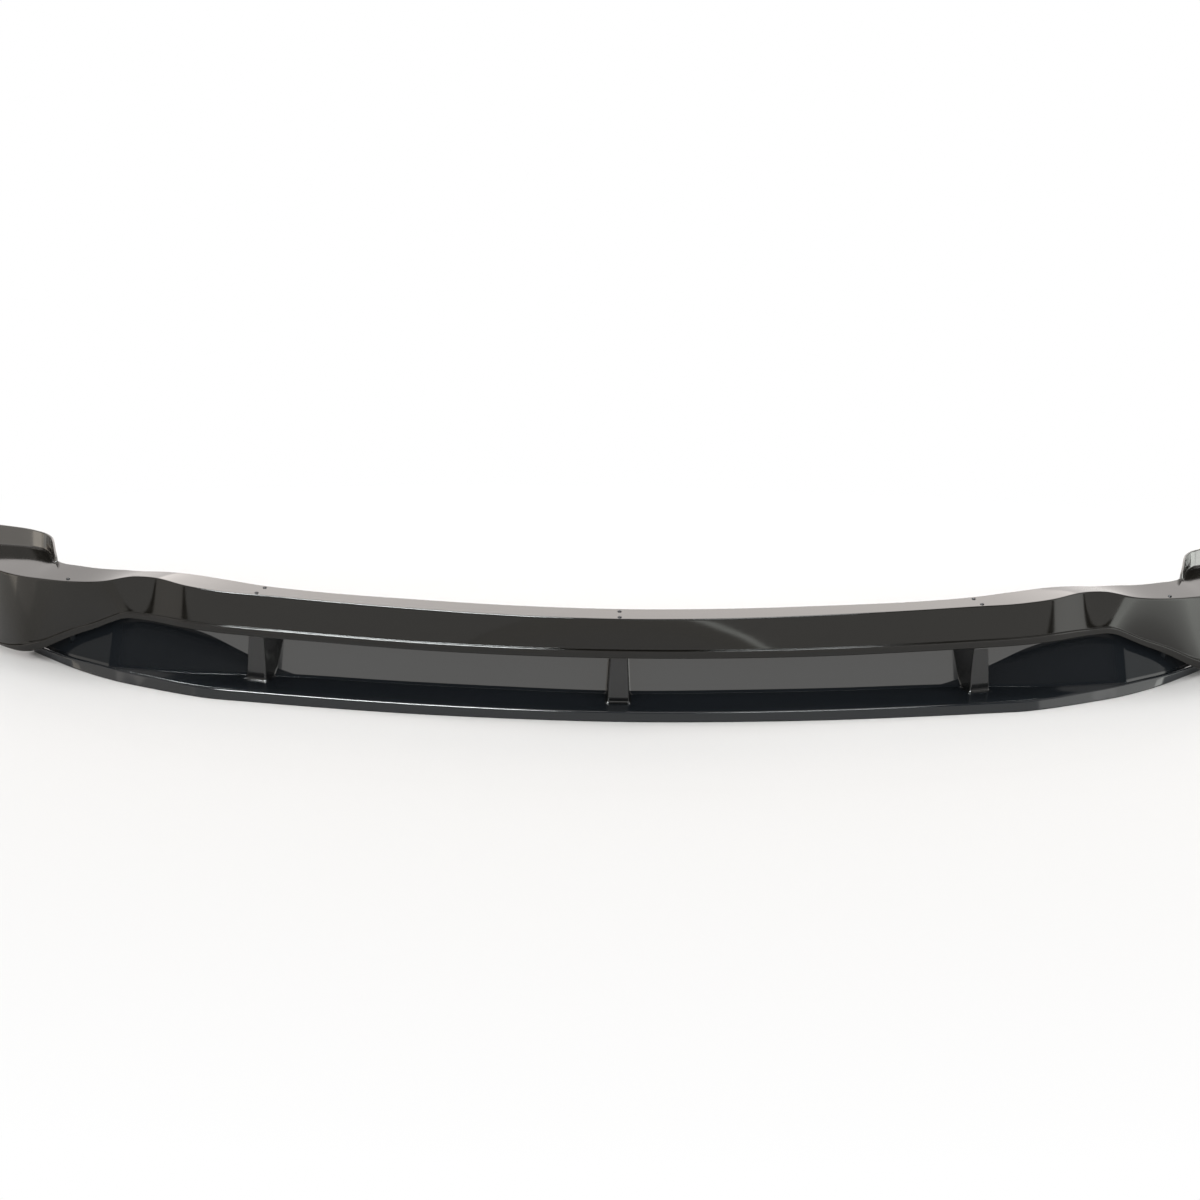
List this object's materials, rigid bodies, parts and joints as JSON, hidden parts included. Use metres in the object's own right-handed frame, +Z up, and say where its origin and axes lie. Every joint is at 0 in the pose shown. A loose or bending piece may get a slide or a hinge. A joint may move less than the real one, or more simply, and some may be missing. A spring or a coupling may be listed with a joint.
{
  "type": "front splitter lip",
  "caption": "Two-tier front bumper lip: an upper lip moulding with swept legs and wings, screwed to a filleted tray that forms an air slot under it.",
  "frame": {"origin": "middle of the part's width and depth, on the surface that it stands on", "axes": "+X across the car, -Y towards the road ahead, +Z up"},
  "size_m": [1.7, 0.3572, 0.1254],
  "materials": {
    "upper_lip": "gloss black, smooth",
    "lower_splitter": "gloss black, smooth",
    "screws": "black coated steel"
  },
  "bodies": {
    "root": {"upper_lip": "upper_lip", "lower_splitter": "lower_splitter", "screw_centre_front": "screws", "screw_centre_rear": "screws", "screw_left_front": "screws", "screw_left_rear": "screws", "screw_right_front": "screws", "screw_right_rear": "screws", "screw_left_outer": "screws", "screw_right_outer": "screws"}
  },
  "joints": []
}
